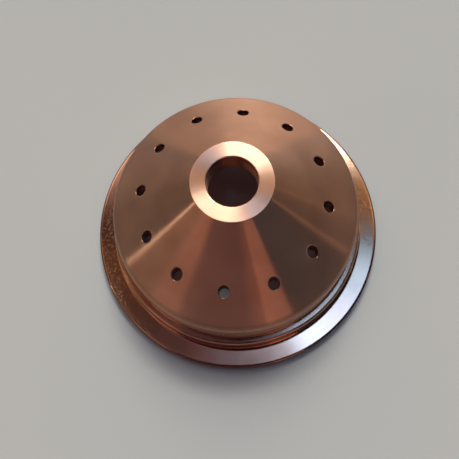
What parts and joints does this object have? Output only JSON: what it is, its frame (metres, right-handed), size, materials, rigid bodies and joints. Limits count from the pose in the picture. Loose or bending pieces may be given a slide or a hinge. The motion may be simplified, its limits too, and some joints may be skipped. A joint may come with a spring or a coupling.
{
  "type": "plasma shield cap",
  "caption": "One-piece turned copper shield cap for a plasma cutting torch: conical nose with a central orifice and a ring of vents, stepped skirt and a thin clamping flange.",
  "frame": {"origin": "centre of the flange's underside", "axes": "+Z along the turning axis towards the tip; the first vent lies 16 degrees from +X towards +Y"},
  "size_m": [0.034, 0.034, 0.0175],
  "materials": {
    "copper": "turned bare copper, lightly tarnished, bright on the tip and flange faces"
  },
  "bodies": {
    "root": {"shield_cap": "copper"}
  },
  "joints": []
}
